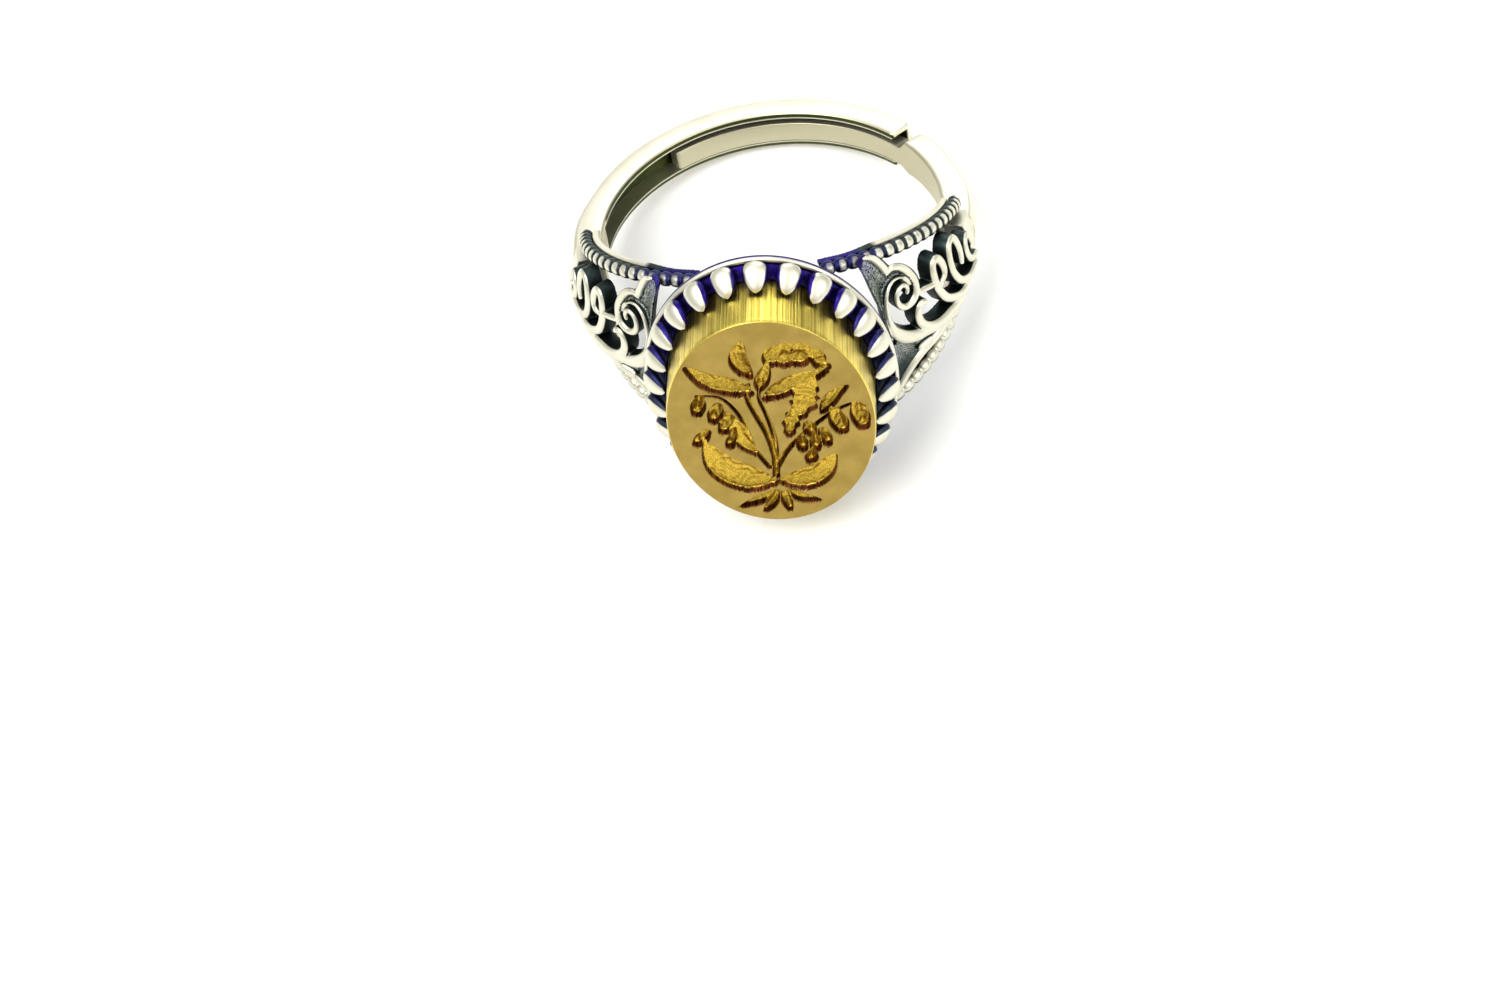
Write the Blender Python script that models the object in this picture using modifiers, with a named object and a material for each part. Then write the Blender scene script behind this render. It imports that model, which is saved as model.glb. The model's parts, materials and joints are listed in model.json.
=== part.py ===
"""An adjustable signet ring, lying on its side: a brass seal plate in an oval silver head, openwork
shoulders of scroll wires between beaded edges, and an open shank whose tongue slides in a channel.

Everything is drawn in the ring's own axes: the finger goes along Z, the seal faces -Y, and "height"
means the distance from the finger's axis towards the seal. The whole ring is then laid on its head's
rim and the back of its shank, with its lowest point on Z = 0 and its box centred on the origin.
"""

import math

import bmesh
import bpy
from mathutils import Matrix, Vector

MM = 0.001

# Finger hole and shank
FINGER_RADIUS = 8.7 * MM
SHANK_THICKNESS = 1.4 * MM
SHANK_SWELL = 0.2 * MM  # extra thickness where the shank meets a shoulder
SWELL_START = math.radians(66)  # angles along the shank run from its back, positive to the right
SWELL_SPAN = math.radians(20)
SHANK_HALF_WIDTH = 1.1 * MM
LIP_WIDTH = 0.3 * MM  # channel walls, along the finger
WEB_THICKNESS = 0.4 * MM  # channel back
SLIDE_GAP = 0.06 * MM  # between the tongue and the channel's lips
NEST_GAP = 0.16 * MM  # between the tongue and the channel's back
CHANNEL_TIP = math.radians(46)
TONGUE_TIP = math.radians(-36)
CHANNEL_START = math.radians(-82)
TONGUE_SHOULDER = math.radians(50)  # the tongue swells to the full section beyond this angle
TONGUE_SWELL_SPAN = math.radians(24)
HINGE_GAP = 0.14 * MM  # from the flexing line to each face beside it
GROOVE_OVERCUT = 0.5 * MM  # how far the groove's cutter stands out of the channel inwards
GROOVE_OVERRUN = math.radians(5)  # and beyond its open end

# Head, as heights above the finger's axis and offsets from the seal plate's outline
SEAL_HALF_WIDTH = 5.1 * MM
SEAL_HALF_LENGTH = 6.6 * MM
SEAL_FACE_HEIGHT = 13.9 * MM
SEAL_SEAT_HEIGHT = 10.2 * MM
FLOOR_HEIGHTS = (9.88 * MM, 10.14 * MM)
FLOOR_OFFSET = 0.7 * MM
COLLET_HEIGHTS = (8.45 * MM, 9.82 * MM)
COLLET_OFFSETS = (-1.0 * MM, -0.5 * MM)
FLANGE_HEIGHTS = (10.2 * MM, 10.65 * MM)
FLANGE_OFFSETS = (0.06 * MM, 0.72 * MM)
RIM_OFFSET = 0.96 * MM
RIM_HEIGHT = 10.45 * MM
RIM_RADIUS = 0.2 * MM
SEAL_EDGE = 0.08 * MM
HEAD_GAP = 0.05 * MM

# Teardrop grains round the seal plate
GRAIN_COUNT = 26
GRAIN_LENGTH = 1.55 * MM
GRAIN_WIDTH = 1.38 * MM
GRAIN_THICKNESS = 0.72 * MM
GRAIN_TAPER = 0.38
GRAIN_BELLY = -0.35  # where it is as wide as GRAIN_WIDTH, from -1 at its foot to 1 at its tip
GRAIN_RING_OFFSET = 0.6 * MM  # the grains are evenly spaced along this outline
GRAIN_PHASE = 0.42  # the first one's place along it from the plate's widest point, in steps
GRAIN_TIP_OFFSET = 0.12 * MM
GRAIN_TIP_HEIGHT = 11.95 * MM
GRAIN_LEAN = math.radians(38)  # from the head's axis towards the plate

# Shoulders, unrolled: u runs round the finger from the side of the ring towards the head
UNROLL_RADIUS = 9.5 * MM
EDGE_START = 1.35 * MM
EDGE_RISE = 0.52
EDGE_BEND = 16.5  # per metre: how fast that rise falls off
EDGE_END = 11.75 * MM
RAIL_DEPTH = 0.3 * MM
RAIL_HALF_WIDTH = 0.3 * MM
BEAD_RADIUS = 0.36 * MM
SCROLL_BOTTOM = 9.0 * MM  # radius of the scrolls' inner side
SCROLL_CROWN = 10.75 * MM  # radius of their outer side along the middle
SCROLL_DOME = 0.5 * MM  # how far that side falls away at the beaded edges
HEAD_RISE = 0.6 * MM  # how far it climbs to meet the head, from this u on
HEAD_RISE_START = 8.8 * MM
HEAD_RISE_SPAN = 1.6 * MM
BLOCK_LENGTH = 2.3 * MM
BLOCK_HALF_WIDTH = 0.9 * MM
BLOCK_FLARE = 0.3  # growth of its half-width per length

REST_BALANCE = -5 * MM  # where the ring's weight acts along Y, in its own axes

OVAL_STEPS = 52
OUTLINE_SAMPLES = 2000
RAIL_STEPS = 18
BLOCK_STEPS = 5
SHANK_STEPS = 60
SIDES = {"left": -1, "right": 1}
EDGES = {"upper": 1, "lower": -1}


def clear_scene():
    for obj in list(bpy.data.objects):
        bpy.data.objects.remove(obj)


def metal(name, colour, roughness):
    material = bpy.data.materials.new(name)
    material.use_nodes = True
    shader = material.node_tree.nodes["Principled BSDF"]
    shader.inputs["Base Color"].default_value = (*colour, 1.0)
    shader.inputs["Metallic"].default_value = 1.0
    shader.inputs["Roughness"].default_value = roughness
    material.diffuse_color = (*colour, 1.0)
    return material


def place(name, data, material, collection, parent):
    """A new object in the ring's axes, standing on its parent empty."""
    obj = bpy.data.objects.new(name, data)
    collection.objects.link(obj)
    obj.parent = parent
    obj.location = -parent.location
    if material:
        data.materials.clear()
        data.materials.append(material)
    return obj


# Outlines and meshes


def eased(share):
    share = min(max(share, 0), 1)
    return share * share * (3 - 2 * share)


def spaced(start, end, count):
    """The ends and the points between them that split start to end into count equal steps."""
    return [start + (end - start) * i / count for i in range(count + 1)]


def oval(offset, steps=OVAL_STEPS):
    """The seal plate's outline grown by offset, as (x, z) points, with a short flat at each end, so
    that the ring lies on a flat of its rim instead of on a point."""
    half_width, half_length = SEAL_HALF_WIDTH + offset, SEAL_HALF_LENGTH + offset
    turns = [2 * math.pi * (i + 0.5) / steps for i in range(steps)]
    return [(half_width * math.cos(t), half_length * math.sin(t)) for t in turns]


def smooth_path(knots, per_span=4):
    """A Catmull-Rom curve through the knots."""
    points = [Vector(k) for k in knots]
    ends = [2 * points[0] - points[1], *points, 2 * points[-1] - points[-2]]
    found = []
    for a, b, c, d in zip(ends, ends[1:], ends[2:], ends[3:]):
        for i in range(per_span):
            t = i / per_span
            found.append(
                0.5 * (2 * b + t * (c - a) + t**2 * (2 * a - 5 * b + 4 * c - d)
                       + t**3 * (3 * b - a - 3 * c + d))
            )
    return [*found, points[-1]]


def spiral(centre, start_angle, turns, inner, outer, steps):
    """Points of a volute, from its eye outwards; a negative number of turns winds clockwise."""
    found = []
    for i in range(steps + 1):
        share = i / steps
        angle = start_angle + 2 * math.pi * turns * share
        radius = inner + (outer - inner) * share
        found.append((centre[0] + radius * math.cos(angle), centre[1] + radius * math.sin(angle)))
    return found


def ribbon(path, half_width, tip=0.6):
    """The outline of a band along path, in its own plane. It narrows to the share tip at its last point."""
    points = [Vector(p[:2]) for p in path]
    left, right = [], []
    for i, point in enumerate(points):
        ahead, behind = points[min(i + 1, len(points) - 1)], points[max(i - 1, 0)]
        along = (ahead - behind).normalized()
        share = i / (len(points) - 1)
        reach = half_width * (1 + (tip - 1) * share**2)
        across = Vector((-along.y, along.x)) * reach
        left.append(point + across)
        right.append(point - across)
        if i == 0:
            start = point - along * reach
        if i == len(points) - 1:
            end = point + along * reach
    return [tuple(p) for p in [start, *left, end, *reversed(right)]]


def flat_curve(name, outlines, thickness):
    """A filled 2D curve: the first outline is the shape, and any more are holes in it."""
    curve = bpy.data.curves.new(name, "CURVE")
    curve.dimensions = "2D"
    curve.fill_mode = "BOTH"
    curve.extrude = thickness / 2
    for outline in outlines:
        spline = curve.splines.new("POLY")
        spline.points.add(len(outline) - 1)
        for point, (x, y) in zip(spline.points, outline):
            point.co = (x, y, 0, 1)
        spline.use_cyclic_u = True
    return curve


def mesh_of(curve):
    """The curve's closed mesh, with its loose caps welded on."""
    source = bpy.data.objects.new(curve.name + "_outline", curve)
    bpy.context.scene.collection.objects.link(source)
    bpy.context.view_layer.update()
    graph = bpy.context.evaluated_depsgraph_get()
    mesh = bpy.data.meshes.new_from_object(source.evaluated_get(graph))
    bpy.data.objects.remove(source)
    shape = bmesh.new()
    shape.from_mesh(mesh)
    bmesh.ops.remove_doubles(shape, verts=shape.verts, dist=0.001 * MM)
    bmesh.ops.recalc_face_normals(shape, faces=shape.faces)
    shape.to_mesh(mesh)
    shape.free()
    return mesh


def turn_normals_out(mesh):
    shape = bmesh.new()
    shape.from_mesh(mesh)
    bmesh.ops.recalc_face_normals(shape, faces=shape.faces)
    shape.to_mesh(mesh)
    shape.free()


def soften(mesh, degrees=40):
    mesh.shade_smooth()
    mesh.set_sharp_from_angle(angle=math.radians(degrees))


def cut(obj, cutter):
    modifier = obj.modifiers.new("cut_" + cutter.name, "BOOLEAN")
    modifier.operation = "DIFFERENCE"
    modifier.object = cutter


def as_cutter(obj):
    obj.hide_render = True
    obj.display_type = "WIRE"
    return obj


# Head


def head_slab(name, outer, inner, heights, material, collection, parent):
    """An oval slab or ring of the head between two heights. inner is None where it has no hole."""
    outlines = [oval(outer)] if inner is None else [oval(outer), oval(inner)]
    mesh = mesh_of(flat_curve(name, outlines, heights[1] - heights[0]))
    obj = place(name, mesh, material, collection, parent)
    obj.rotation_euler.x = math.radians(90)
    obj.location.y -= (heights[0] + heights[1]) / 2
    return obj


def build_seal_plate(material, collection, parent):
    heights = (SEAL_SEAT_HEIGHT, SEAL_FACE_HEIGHT)
    plate = head_slab("seal_plate", 0, None, heights, material, collection, parent)
    edge = plate.modifiers.new("edge", "BEVEL")
    edge.width = SEAL_EDGE
    edge.segments = 1
    edge.limit_method = "ANGLE"
    edge.angle_limit = math.radians(60)


def build_bezel(silver, collection, cutters, parent):
    head_slab("bezel_floor", FLOOR_OFFSET, None, FLOOR_HEIGHTS, silver, collection, parent)
    inner, outer = FLANGE_OFFSETS
    head_slab("bezel_flange", outer, inner, FLANGE_HEIGHTS, silver, collection, parent)
    collet = head_slab(
        "head_collet", COLLET_OFFSETS[1], COLLET_OFFSETS[0], COLLET_HEIGHTS, silver, collection, parent
    )
    hole = bmesh.new()
    bmesh.ops.create_cone(
        hole,
        cap_ends=True,
        segments=64,
        radius1=FINGER_RADIUS + HEAD_GAP,
        radius2=FINGER_RADIUS + HEAD_GAP,
        depth=4 * SEAL_HALF_LENGTH,
    )
    mesh = bpy.data.meshes.new("finger_cutter")
    hole.to_mesh(mesh)
    hole.free()
    cut(collet, as_cutter(place("finger_cutter", mesh, None, cutters, parent)))


def build_rim_wire(material, collection, parent):
    curve = bpy.data.curves.new("rim_wire", "CURVE")
    curve.dimensions = "3D"
    curve.bevel_depth = RIM_RADIUS
    curve.bevel_resolution = 2
    spline = curve.splines.new("POLY")
    points = oval(RIM_OFFSET)
    spline.points.add(len(points) - 1)
    for point, (x, z) in zip(spline.points, points):
        point.co = (x, -RIM_HEIGHT, z, 1)
    spline.use_cyclic_u = True
    place("rim_wire", curve, material, collection, parent)


def grain_mesh():
    """A teardrop along Z, pointed at the top, with its tip at the origin."""
    shape = bmesh.new()
    bmesh.ops.create_uvsphere(shape, u_segments=10, v_segments=7, radius=1)
    for vertex in shape.verts:
        x, y, z = vertex.co
        narrowing = 1 - GRAIN_TAPER * (z - GRAIN_BELLY)
        vertex.co.x = x * narrowing * GRAIN_WIDTH / 2
        vertex.co.y = y * narrowing * GRAIN_THICKNESS / 2
        vertex.co.z = (z - 1) * GRAIN_LENGTH / 2
    mesh = bpy.data.meshes.new("grain")
    shape.to_mesh(mesh)
    shape.free()
    mesh.shade_smooth()
    return mesh


def even_turns(offset, count, phase):
    """Angles that space count points evenly along the grown outline, the first phase steps from its
    widest point."""
    points = oval(offset, OUTLINE_SAMPLES)
    run = [0.0]
    for a, b in zip(points, points[1:] + points[:1]):
        run.append(run[-1] + math.dist(a, b))
    found, i = [], 0
    for n in range(count):
        while run[i + 1] <= run[-1] * (n + phase) / count:
            i += 1
        found.append(2 * math.pi * i / OUTLINE_SAMPLES)
    return found


def build_grains(material, collection, parent):
    """Each teardrop stands on the flange and leans in, so that its tip touches the seal plate's side."""
    mesh = grain_mesh()
    turns = even_turns(GRAIN_RING_OFFSET, GRAIN_COUNT, GRAIN_PHASE)
    for n, turn in enumerate(turns, start=1):
        x = (SEAL_HALF_WIDTH + GRAIN_TIP_OFFSET) * math.cos(turn)
        z = (SEAL_HALF_LENGTH + GRAIN_TIP_OFFSET) * math.sin(turn)
        outward = Vector((SEAL_HALF_LENGTH * math.cos(turn), 0, SEAL_HALF_WIDTH * math.sin(turn)))
        outward.normalize()
        axis = Vector((0, -math.cos(GRAIN_LEAN), 0)) - outward * math.sin(GRAIN_LEAN)
        across = outward.cross(Vector((0, -1, 0)))
        grain = place(f"grain_{n:02d}", mesh, material, collection, parent)
        grain.location += Vector((x, -GRAIN_TIP_HEIGHT, z))
        frame = [across, axis.cross(across), axis]
        grain.rotation_euler = Matrix(frame).transposed().to_euler()


# Shoulders


def edge_z(u):
    return EDGE_START + EDGE_RISE * u - EDGE_BEND * u**2


def rolled(u, z, radius, side):
    """The point at (u, z) of the unrolled shoulder, at a distance from the finger's axis."""
    angle = math.pi / 2 - u / UNROLL_RADIUS
    return Vector((side * radius * math.sin(angle), -radius * math.cos(angle), z))


def roll_up(mesh, bottom, top, side):
    """Bends a flat piece, drawn in (u, z), round the finger between two radii."""
    low = min(v.co.z for v in mesh.vertices)
    high = max(v.co.z for v in mesh.vertices)
    for vertex in mesh.vertices:
        u, z, level = vertex.co
        outer = top(u, z) if callable(top) else top
        radius = bottom + (outer - bottom) * (level - low) / (high - low)
        vertex.co = rolled(u, z, radius, side)
    turn_normals_out(mesh)
    soften(mesh)
    return mesh


def scroll_crown(u, z):
    climb = HEAD_RISE * eased((u - HEAD_RISE_START) / HEAD_RISE_SPAN)
    return SCROLL_CROWN - SCROLL_DOME * (z / edge_z(u)) ** 2 + climb


def build_edges(silver, collection, parent):
    """The four rails along the finger hole's rims, and the beaded wires on them."""
    stations = spaced(HINGE_GAP, EDGE_END, RAIL_STEPS)
    for side_name, side in SIDES.items():
        for edge_name, up in EDGES.items():
            line = [(u, up * edge_z(u)) for u in stations]
            outline = [(u, z + RAIL_HALF_WIDTH) for u, z in line]
            outline += [(u, z - RAIL_HALF_WIDTH) for u, z in reversed(line)]
            name = f"{side_name}_{edge_name}_rail"
            mesh = mesh_of(flat_curve(name, [outline], RAIL_DEPTH))
            roll_up(mesh, FINGER_RADIUS, FINGER_RADIUS + RAIL_DEPTH, side)
            place(name, mesh, silver, collection, parent)

            name = f"{side_name}_{edge_name}_bead_wire"
            curve = bpy.data.curves.new(name, "CURVE")
            curve.dimensions = "3D"
            curve.bevel_depth = BEAD_RADIUS
            curve.bevel_resolution = 2
            curve.use_fill_caps = True
            spline = curve.splines.new("POLY")
            spline.points.add(len(line) - 1)
            radius = FINGER_RADIUS + RAIL_DEPTH + HEAD_GAP + BEAD_RADIUS
            for point, (u, z) in zip(spline.points, line):
                point.co = (*rolled(u, z, radius, side), 1)
            place(name, curve, silver, collection, parent)


# Scroll centre lines in millimetres of (u, z), as on both shoulders. A volute runs from its eye
# outwards, to the side towards the head, and ends in an arm; the lower one is drawn upside down.
VOLUTES = {
    "big_scroll": {
        "centre": (7.93, 2.45), "eye": 0.27, "radius": 1.02, "turns": 1.25, "half_width": 0.2,
        "arm": [
            (8.98, 1.6), (8.94, 0.7), (8.65, -0.2), (8.05, -0.9), (7.3, -1.28), (6.5, -1.42), (5.9, -1.45),
        ],
    },
    "lower_scroll": {
        "centre": (7.9, 2.85), "eye": 0.24, "radius": 0.8, "turns": 1.0, "half_width": 0.17,
        "arm": [(8.78, 2.2), (8.95, 1.5), (8.98, 0.9)],
    },
}
TENDRILS = {
    "middle_scroll": [
        (6.62, 0.82), (7.1, 0.66), (7.36, 0.2), (7.16, -0.35), (6.5, -0.78), (5.7, -0.95), (4.9, -0.92),
    ],
    "curl": [
        (5.68, 1.25), (5.36, 1.38), (5.3, 1.9), (5.68, 2.32), (6.1, 2.1), (6.14, 1.5), (6.05, 0.85),
        (5.8, 0.2), (5.3, -0.25), (4.7, -0.38), (4.15, -0.22),
    ],
    "tip_curl": [
        (4.2, 1.1), (3.92, 1.2), (3.85, 1.68), (4.2, 2.08), (4.62, 1.9), (4.68, 1.3), (4.5, 0.65),
        (4.05, 0.2), (3.4, 0.02), (2.85, 0.08),
    ],
    "upper_leaf": [
        (10.35, 4.15), (9.9, 4.15), (9.55, 3.8), (9.45, 3.2), (9.52, 2.4), (9.6, 1.4), (9.58, 0.4),
    ],
    "lower_leaf": [
        (10.35, -4.15), (9.9, -4.1), (9.6, -3.7), (9.5, -3.0), (9.6, -2.2), (9.65, -1.2), (9.62, -0.4),
    ],
    "lower_curl": [
        (6.0, -2.38), (5.62, -2.25), (5.38, -2.6), (5.68, -3.02), (6.3, -2.98), (6.62, -2.5), (6.56, -1.9),
    ],
}
TENDRIL_HALF_WIDTH = 0.15


def volute_path(centre, eye, radius, turns, arm):
    """A volute that ends on the side towards the head, and the arm that leads away from it."""
    coil = spiral(centre, 2 * math.pi * turns, -turns, eye, radius, round(18 * turns))
    return coil[:-1] + [tuple(p) for p in smooth_path([coil[-1], *arm], 3)]


def build_scrolls(silver, collection, parent):
    """Openwork between the beaded edges of each shoulder."""
    outlines = {
        kind: ribbon(smooth_path(knots, 3), TENDRIL_HALF_WIDTH, 0.8) for kind, knots in TENDRILS.items()
    }
    for kind, v in VOLUTES.items():
        path = volute_path(v["centre"], v["eye"], v["radius"], v["turns"], v["arm"])
        up = -1 if kind == "lower_scroll" else 1
        outlines[kind] = [(u, up * z) for u, z in ribbon(path, v["half_width"], 0.8)]
    for side_name, side in SIDES.items():
        for kind, outline in outlines.items():
            name = f"{side_name}_{kind}"
            points = [(u * MM, z * MM) for u, z in outline]
            mesh = mesh_of(flat_curve(name, [points], MM))
            roll_up(mesh, SCROLL_BOTTOM, scroll_crown, side)
            place(name, mesh, silver, collection, parent)


# Shank


def swept_bar(name, stations):
    """A closed bar of rectangular section. Each station gives an angle from the shank's back, the
    inner and outer radius, and the half-width."""
    shape = bmesh.new()
    rings = []
    for angle, inner, outer, half_width in stations:
        corners = [(inner, -half_width), (outer, -half_width), (outer, half_width), (inner, half_width)]
        rings.append(
            [shape.verts.new((r * math.sin(angle), r * math.cos(angle), z)) for r, z in corners]
        )
    for a, b in zip(rings, rings[1:]):
        for k in range(4):
            shape.faces.new((a[k], a[(k + 1) % 4], b[(k + 1) % 4], b[k]))
    shape.faces.new(rings[0])
    shape.faces.new(reversed(rings[-1]))
    bmesh.ops.recalc_face_normals(shape, faces=shape.faces)
    mesh = bpy.data.meshes.new(name)
    shape.to_mesh(mesh)
    shape.free()
    soften(mesh)
    return mesh


def build_shank(silver, collection, cutters, left_hinge, right_hinge):
    mean = FINGER_RADIUS + SHANK_THICKNESS / 2
    end = math.pi / 2 - HINGE_GAP / mean
    outside = FINGER_RADIUS + SHANK_THICKNESS

    def swell(angle):
        return outside + SHANK_SWELL * eased((abs(angle) - SWELL_START) / SWELL_SPAN)

    stations = [
        (a, FINGER_RADIUS, swell(a), SHANK_HALF_WIDTH) for a in spaced(-end, CHANNEL_TIP, SHANK_STEPS)
    ]
    channel = place("channel_shank", swept_bar("channel_shank", stations), silver, collection, left_hinge)
    groove = [
        (a, FINGER_RADIUS - GROOVE_OVERCUT, outside - WEB_THICKNESS, SHANK_HALF_WIDTH - LIP_WIDTH)
        for a in spaced(CHANNEL_START, CHANNEL_TIP + GROOVE_OVERRUN, SHANK_STEPS)
    ]
    cut(channel, as_cutter(place("groove_cutter", swept_bar("groove", groove), None, cutters, left_hinge)))

    tongue_outside = outside - WEB_THICKNESS - NEST_GAP
    tongue_half_width = SHANK_HALF_WIDTH - LIP_WIDTH - SLIDE_GAP
    stations = []
    for a in spaced(TONGUE_TIP, end, SHANK_STEPS):
        grown = eased((a - TONGUE_SHOULDER) / TONGUE_SWELL_SPAN)
        stations.append((
            a,
            FINGER_RADIUS,
            tongue_outside + (swell(a) - tongue_outside) * grown,
            tongue_half_width + (SHANK_HALF_WIDTH - tongue_half_width) * grown,
        ))
    place("tongue_shank", swept_bar("tongue_shank", stations), silver, collection, right_hinge)


def build_shoulder_blocks(silver, collection, parent):
    """The solid root of each shoulder, between its rails, where the shank flexes."""
    outside = FINGER_RADIUS + SHANK_THICKNESS + SHANK_SWELL
    for side_name, side in SIDES.items():
        stations = []
        for u in spaced(HINGE_GAP, BLOCK_LENGTH, BLOCK_STEPS):
            angle = side * (math.pi / 2 + u / UNROLL_RADIUS)
            half_width = BLOCK_HALF_WIDTH + BLOCK_FLARE * (u - HINGE_GAP)
            stations.append((angle, FINGER_RADIUS, outside, half_width))
        name = f"{side_name}_shoulder_block"
        place(name, swept_bar(name, stations), silver, collection, parent)


# Assembly


def empty(name, location, collection, parent=None):
    found = bpy.data.objects.new(name, None)
    found.empty_display_size = 2 * MM
    collection.objects.link(found)
    found.parent = parent
    found.location = location
    return found


def lay_down(ring, collection):
    """Turns and lifts the ring so that it lies on its two lowest points, on Z = 0 about the origin."""
    def corners():
        bpy.context.view_layer.update()
        graph = bpy.context.evaluated_depsgraph_get()
        found = []
        for obj in collection.objects:
            if obj.type == "EMPTY":
                continue
            evaluated = obj.evaluated_get(graph)
            found += [evaluated.matrix_world @ v.co for v in evaluated.to_mesh().vertices]
            evaluated.to_mesh_clear()
        return found

    hull = []
    for point in sorted((p.y, p.z) for p in corners()):
        while len(hull) > 1:
            (ay, az), (by, bz) = hull[-2:]
            if (by - ay) * (point[1] - az) - (bz - az) * (point[0] - ay) > 0:
                break
            hull.pop()
        hull.append(point)
    for (ay, az), (by, bz) in zip(hull, hull[1:]):
        if ay <= REST_BALANCE <= by:
            ring.rotation_euler.x = -math.atan2(bz - az, by - ay)
    laid = corners()
    lows = [min(p[k] for p in laid) for k in range(3)]
    highs = [max(p[k] for p in laid) for k in range(3)]
    ring.location = (-(lows[0] + highs[0]) / 2, -(lows[1] + highs[1]) / 2, -lows[2])


def main():
    clear_scene()
    scene = bpy.context.scene
    scene.unit_settings.system = "METRIC"
    parts = bpy.data.collections.new("signet_ring")
    cutters = bpy.data.collections.new("cutters")
    scene.collection.children.link(parts)
    scene.collection.children.link(cutters)
    cutters.hide_render = True

    silver = metal("oxidised_silver", (0.62, 0.61, 0.56), 0.28)
    bright = metal("bright_silver", (0.85, 0.84, 0.8), 0.2)
    brass = metal("brass", (0.62, 0.45, 0.14), 0.35)

    ring = empty("ring", (0, 0, 0), parts)
    hinge_radius = FINGER_RADIUS + SHANK_THICKNESS / 2
    left_hinge = empty("left_flex", (-hinge_radius, 0, 0), parts, ring)
    right_hinge = empty("right_flex", (hinge_radius, 0, 0), parts, ring)

    build_seal_plate(brass, parts, ring)
    build_bezel(silver, parts, cutters, ring)
    build_rim_wire(bright, parts, ring)
    build_grains(bright, parts, ring)
    build_edges(silver, parts, ring)
    build_scrolls(silver, parts, ring)
    build_shoulder_blocks(silver, parts, ring)
    build_shank(bright, parts, cutters, left_hinge, right_hinge)
    lay_down(ring, parts)


main()
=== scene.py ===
"""Looks for the adjustable signet ring: carved brass plate, grained bezel, cast openwork shoulders,
milgrain edges and a two-piece shank of oxidised silver.

Shapes are drawn in the ring's own axes, in millimetres: the finger goes along Z, the seal faces -Y,
and "height" is the distance from the finger's axis towards the seal. On the shoulders, u runs round
the finger from the side of the ring towards the head.
"""

import json
import math

import bmesh
import bpy
import numpy as np
from mathutils import Matrix, Vector, kdtree


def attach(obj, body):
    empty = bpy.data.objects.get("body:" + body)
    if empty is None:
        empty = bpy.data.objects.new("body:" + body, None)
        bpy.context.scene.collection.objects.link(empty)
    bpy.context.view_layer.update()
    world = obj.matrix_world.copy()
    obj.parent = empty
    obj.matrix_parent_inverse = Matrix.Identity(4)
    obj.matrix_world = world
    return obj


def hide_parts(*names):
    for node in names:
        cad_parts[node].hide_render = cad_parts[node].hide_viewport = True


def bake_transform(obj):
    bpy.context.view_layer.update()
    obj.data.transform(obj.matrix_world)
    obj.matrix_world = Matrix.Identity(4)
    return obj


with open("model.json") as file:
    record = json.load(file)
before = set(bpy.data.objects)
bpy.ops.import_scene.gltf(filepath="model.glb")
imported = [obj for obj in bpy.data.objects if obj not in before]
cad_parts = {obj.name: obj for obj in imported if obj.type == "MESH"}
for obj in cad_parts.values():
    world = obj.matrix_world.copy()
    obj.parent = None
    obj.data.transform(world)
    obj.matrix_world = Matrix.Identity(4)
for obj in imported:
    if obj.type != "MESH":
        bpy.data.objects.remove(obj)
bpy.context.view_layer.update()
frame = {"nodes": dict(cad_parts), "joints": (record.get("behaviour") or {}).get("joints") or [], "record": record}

MM = 0.001
UNROLL_RADIUS = 9.5
SIDES = {"left": -1, "right": 1}

# ---------------------------------------------------------------- places, from the frame


def ring_matrix():
    """From the ring's own axes, in millimetres, to the frame's, in metres."""
    finger = Vector(frame["joints"][0]["axis"]).normalized()
    facing = Vector(frame["record"]["mounts"][0]["axis"]).normalized()
    hinges = [Vector(joint["pos_m"]) for joint in frame["joints"]]
    axes = Matrix((finger.cross(facing), -facing, finger)).transposed()
    return Matrix.Translation((hinges[0] + hinges[1]) / 2) @ axes.to_4x4() @ Matrix.Scale(MM, 4)


RING = ring_matrix()
INTO_RING = RING.inverted()


def extent(*names):
    """Lowest and highest corner of some CAD nodes, in the ring's own axes."""
    points = np.array([INTO_RING @ v.co for name in names for v in frame["nodes"][name].data.vertices])
    return Vector(points.min(0)), Vector(points.max(0))


plate_low, plate_high = extent("seal_plate")
HALF_WIDTH = plate_high.x
HALF_LENGTH = plate_high.z
FACE_HEIGHT = -plate_low.y
SEAT_HEIGHT = -plate_high.y
rim_low, rim_high = extent("rim_wire")
RIM_RADIUS = (rim_high.y - rim_low.y) / 2
RIM_HEIGHT = -(rim_high.y + rim_low.y) / 2
RIM_OFFSET = rim_high.x - RIM_RADIUS - HALF_WIDTH
flange_low, flange_high = extent("bezel_flange")
grain_nodes = sorted(name for name in frame["nodes"] if name.startswith("grain_"))

# ---------------------------------------------------------------- small helpers


def ramp(value, zero_at, one_at):
    """Grows smoothly from 0 to 1 as the value goes from zero_at to one_at, whichever is larger."""
    share = np.clip((value - zero_at) / (one_at - zero_at), 0, 1)
    return share * share * (3 - 2 * share)


def oval(offset, turn):
    return (HALF_WIDTH + offset) * math.cos(turn), (HALF_LENGTH + offset) * math.sin(turn)


def smooth_path(knots, per_span=6):
    """A Catmull-Rom curve through the knots."""
    points = [Vector(k) for k in knots]
    ends = [2 * points[0] - points[1], *points, 2 * points[-1] - points[-2]]
    found = []
    for a, b, c, d in zip(ends, ends[1:], ends[2:], ends[3:]):
        for i in range(per_span):
            t = i / per_span
            found.append(
                0.5 * (2 * b + t * (c - a) + t**2 * (2 * a - 5 * b + 4 * c - d)
                       + t**3 * (3 * b - a - 3 * c + d))
            )
    return [*found, points[-1]]


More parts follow.
